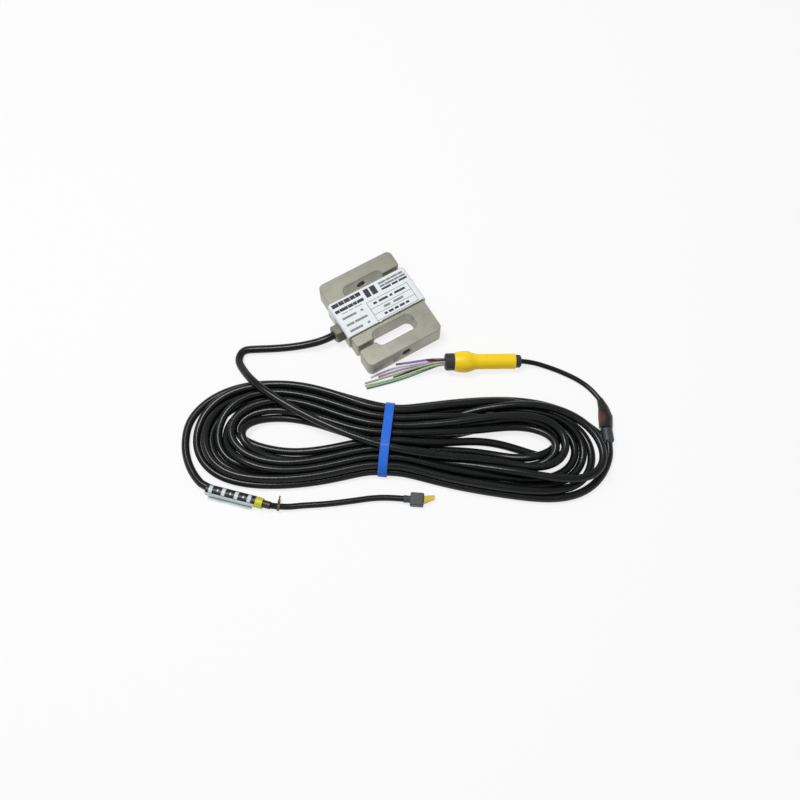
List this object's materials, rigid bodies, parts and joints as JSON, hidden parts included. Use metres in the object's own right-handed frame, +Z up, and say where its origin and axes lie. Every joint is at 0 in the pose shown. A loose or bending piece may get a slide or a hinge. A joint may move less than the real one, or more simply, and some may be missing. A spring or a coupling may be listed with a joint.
{
  "type": "s type load cell",
  "caption": "S shaped tension and compression load cell with sealed gauge pocket, side gland, tied cable hank and fitted cable ends",
  "frame": {"origin": "middle of the beam's lower face, on the surface that the load cell lies on", "axes": "+X across the beam's width, away from the gland; +Y along the loading axis, towards the far threaded hole; +Z up out of the labelled face"},
  "size_m": [0.2308, 0.1941, 0.015],
  "materials": {
    "nickel_plate": "satin electroless nickel plate on alloy steel",
    "cover_metal": "satin sheet steel",
    "label_film": "white polyester label film with plain grey and black bars",
    "gauge_foil": "amber polyimide backing with a foil grid",
    "board": "solder masked terminal board",
    "resistor": "small trim resistors",
    "bridge_core": "insulated bridge wires",
    "gland_metal": "turned and plated hexagon",
    "seal_rubber": "soft seal bush",
    "cable_black": "glossy black cable jacket",
    "strap_blue": "blue tie strap",
    "boot_slate": "moulded slate grey boot",
    "shrink_black": "black shrink sleeve, reddish where it is thin",
    "breakout_yellow": "yellow breakout sleeve",
    "collar_black": "black moulded collar",
    "marker_black": "black marker sleeve with plain pale bands",
    "flap_pale": "pale marker flap",
    "tape_yellow": "yellow green tape",
    "jacket_red": "dark red brown inner jacket",
    "tie_brown": "small brown cable tie",
    "connector_slate": "dark slate connector housing",
    "tip_yellow": "yellow tongue",
    "wire_violet": "violet insulation",
    "wire_lilac": "pale lilac insulation",
    "wire_grey": "grey insulation",
    "wire_beige": "beige insulation",
    "wire_light_green": "light green insulation",
    "wire_green": "green insulation",
    "wire_brown": "brown insulation",
    "wire_black": "black insulation"
  },
  "bodies": {
    "root": {"s_beam_body": "nickel_plate", "gauge_cover": "cover_metal", "back_plate": "cover_metal", "label": "label_film", "terminal_board": "board", "trim_resistors": "resistor", "bridge_wires": "bridge_core", "gland_body": "gland_metal", "gland_seal": "seal_rubber", "entry_cable": "cable_black", "cable_lead": "cable_black", "cable_hank": "cable_black", "tie_strap": "strap_blue", "splice_boot": "boot_slate", "shrink_sleeve": "shrink_black", "pigtail_cable": "cable_black", "breakout_collar_in": "collar_black", "breakout_sleeve": "breakout_yellow", "breakout_collar_out": "collar_black", "return_lead": "cable_black", "marked_length": "cable_black", "marker_sleeve": "marker_black", "marker_flap": "flap_pale", "tape_ring": "tape_yellow", "jacket_end": "jacket_red", "tail_cable": "cable_black", "mini_tie": "tie_brown", "connector_body": "connector_slate", "connector_tip": "tip_yellow", "strain_gauge_1": "gauge_foil", "strain_gauge_2": "gauge_foil", "strain_gauge_3": "gauge_foil", "strain_gauge_4": "gauge_foil", "wire_violet": "wire_violet", "wire_lilac": "wire_lilac", "wire_grey": "wire_grey", "wire_beige": "wire_beige", "wire_light_green": "wire_light_green", "wire_green": "wire_green", "wire_brown": "wire_brown", "wire_black": "wire_black"}
  },
  "joints": []
}
